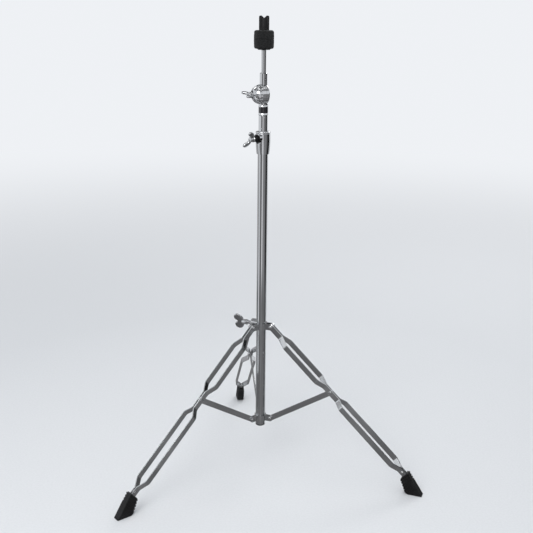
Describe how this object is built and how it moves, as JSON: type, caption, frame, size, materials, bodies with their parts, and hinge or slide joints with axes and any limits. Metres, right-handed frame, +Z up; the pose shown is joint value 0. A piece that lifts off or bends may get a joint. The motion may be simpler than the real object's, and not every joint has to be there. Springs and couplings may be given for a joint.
{
  "type": "straight cymbal stand",
  "caption": "Straight cymbal stand: folding tripod of double-strip legs, base tube, sliding and swivelling middle tube, ratchet tilter and felt cymbal seat with a wing nut.",
  "frame": {"origin": "on the floor, below the middle of the stand's bounding box; the tube's axis is 93.8 mm in front of it", "axes": "+Z up along the tubes, -Y towards the front, where the left and right legs spread, +Y along the rear leg, +X to the right"},
  "size_m": [0.6876, 0.5956, 1.031],
  "materials": {
    "chrome": "bright chrome plate",
    "zinc_plate": "dull zinc plate",
    "black_rubber": "matt moulded rubber",
    "black_nylon": "smooth black nylon",
    "black_plastic": "satin moulded plastic",
    "white_nylon": "natural nylon",
    "label_paint": "plain glossy black band",
    "charcoal_felt": "pressed wool felt"
  },
  "bodies": {
    "base": {"base_tube": "chrome", "base_tube_end_cap": "black_plastic", "lower_bracket": "chrome", "bracket_pin": "zinc_plate", "left_bracket_rivet": "chrome", "right_bracket_rivet": "chrome", "rear_bracket_rivet": "chrome", "tube_clamp": "chrome", "clamp_bushing": "black_nylon", "clamp_nut": "black_nylon"},
    "collar": {"leg_collar": "chrome", "collar_pad": "white_nylon", "left_collar_rivet_a": "chrome", "left_collar_rivet_b": "chrome", "right_collar_rivet_a": "chrome", "right_collar_rivet_b": "chrome", "rear_collar_rivet_a": "chrome", "rear_collar_rivet_b": "chrome"},
    "collar_bolt": {"collar_wing_bolt": "chrome"},
    "clamp_bolt": {"clamp_wing_bolt": "chrome"},
    "left_strut_bar": {"left_strut": "chrome"},
    "left_leg": {"left_leg_strip_a": "chrome", "left_leg_strip_b": "chrome", "left_pivot_bush": "zinc_plate", "left_pinch_rivet": "chrome", "left_foot_rivet": "chrome", "left_rubber_foot": "black_rubber"},
    "right_strut_bar": {"right_strut": "chrome"},
    "right_leg": {"right_leg_strip_a": "chrome", "right_leg_strip_b": "chrome", "right_pivot_bush": "zinc_plate", "right_pinch_rivet": "chrome", "right_foot_rivet": "chrome", "right_rubber_foot": "black_rubber"},
    "rear_strut_bar": {"rear_strut": "chrome"},
    "rear_leg": {"rear_leg_strip_a": "chrome", "rear_leg_strip_b": "chrome", "rear_pivot_bush": "zinc_plate", "rear_pinch_rivet": "chrome", "rear_foot_rivet": "chrome", "rear_rubber_foot": "black_rubber"},
    "glide": {"middle_tube_end_plug": "white_nylon"},
    "mast": {"middle_tube": "chrome", "tube_pin": "zinc_plate", "lower_tilter": "chrome", "label_band": "label_paint", "tilter_spring": "zinc_plate", "tilter_washer": "zinc_plate"},
    "tilter_bolt": {"tilter_wing_bolt": "chrome"},
    "tilter_head": {"upper_tilter": "chrome", "rod_set_screw": "zinc_plate", "cymbal_rod": "chrome", "seat_washer": "zinc_plate", "cymbal_sleeve": "black_plastic", "lower_felt": "charcoal_felt"},
    "top_felt": {"upper_felt": "charcoal_felt"},
    "top_nut": {"wing_nut": "black_plastic", "wing_nut_insert": "zinc_plate"}
  },
  "joints": [
    {"name": "collar_slide", "type": "slide", "parent": "base", "child": "collar", "axis": [0, 0, 1], "range_m": [-0.01, 0.1426]},
    {"name": "left_strut_hinge", "type": "hinge", "parent": "base", "child": "left_strut_bar", "pos_m": [-0.02165, -0.10627, 0.12283], "axis": [-0.5, 0.866, 0], "range_deg": [-4.2, 56.4]},
    {"name": "left_leg_hinge", "type": "hinge", "parent": "left_strut_bar", "child": "left_leg", "pos_m": [-0.14729, -0.1788, 0.21333], "axis": [-0.5, 0.866, 0], "range_deg": [-101.2, 7.4]},
    {"name": "right_strut_hinge", "type": "hinge", "parent": "base", "child": "right_strut_bar", "pos_m": [0.02165, -0.10627, 0.12283], "axis": [-0.5, -0.866, 0], "range_deg": [-4.2, 56.4]},
    {"name": "right_leg_hinge", "type": "hinge", "parent": "right_strut_bar", "child": "right_leg", "pos_m": [0.14729, -0.1788, 0.21333], "axis": [-0.5, -0.866, 0], "range_deg": [-101.2, 7.4]},
    {"name": "rear_strut_hinge", "type": "hinge", "parent": "base", "child": "rear_strut_bar", "pos_m": [0, -0.06877, 0.12283], "axis": [1, 0, 0], "range_deg": [-4.2, 56.4]},
    {"name": "rear_leg_hinge", "type": "hinge", "parent": "rear_strut_bar", "child": "rear_leg", "pos_m": [0, 0.07631, 0.21333], "axis": [1, 0, 0], "range_deg": [-101.2, 7.4]},
    {"name": "collar_bolt_turn", "type": "hinge", "parent": "collar", "child": "collar_bolt", "pos_m": [-0.02901, -0.07702, 0.35451], "axis": [-0.866, 0.5, 0], "continuous": true},
    {"name": "clamp_bolt_turn", "type": "hinge", "parent": "base", "child": "clamp_bolt", "pos_m": [-0.02306, -0.10874, 0.77804], "axis": [-0.8387, -0.5446, 0], "continuous": true},
    {"name": "height_slide", "type": "slide", "parent": "base", "child": "glide", "axis": [0, 0, 1], "range_m": [-0.028, 0.45]},
    {"name": "mast_swivel", "type": "hinge", "parent": "glide", "child": "mast", "pos_m": [0, -0.09377, 0.5], "axis": [0, 0, 1], "continuous": true},
    {"name": "tilter_tilt", "type": "hinge", "parent": "mast", "child": "tilter_head", "pos_m": [0, -0.09377, 0.87084], "axis": [-0.9781, -0.2079, 0], "range_deg": [-90, 90]},
    {"name": "tilter_bolt_turn", "type": "hinge", "parent": "mast", "child": "tilter_bolt", "pos_m": [-0.0225, -0.09855, 0.87084], "axis": [-0.9781, -0.2079, 0], "continuous": true},
    {"name": "felt_lift", "type": "slide", "parent": "tilter_head", "child": "top_felt", "axis": [0, 0, 1], "range_m": [0, 0.022]},
    {"name": "wing_nut_spin", "type": "hinge", "parent": "top_felt", "child": "top_nut", "pos_m": [0, -0.09377, 1.01], "axis": [0, 0, 1], "continuous": true}
  ],
  "couplings": [
    {"joint": "left_strut_hinge", "follows": "collar_slide", "rad_per_m": 6.858},
    {"joint": "left_leg_hinge", "follows": "collar_slide", "rad_per_m": -12.34},
    {"joint": "right_strut_hinge", "follows": "collar_slide", "rad_per_m": 6.858},
    {"joint": "right_leg_hinge", "follows": "collar_slide", "rad_per_m": -12.34},
    {"joint": "rear_strut_hinge", "follows": "collar_slide", "rad_per_m": 6.858},
    {"joint": "rear_leg_hinge", "follows": "collar_slide", "rad_per_m": -12.34}
  ]
}
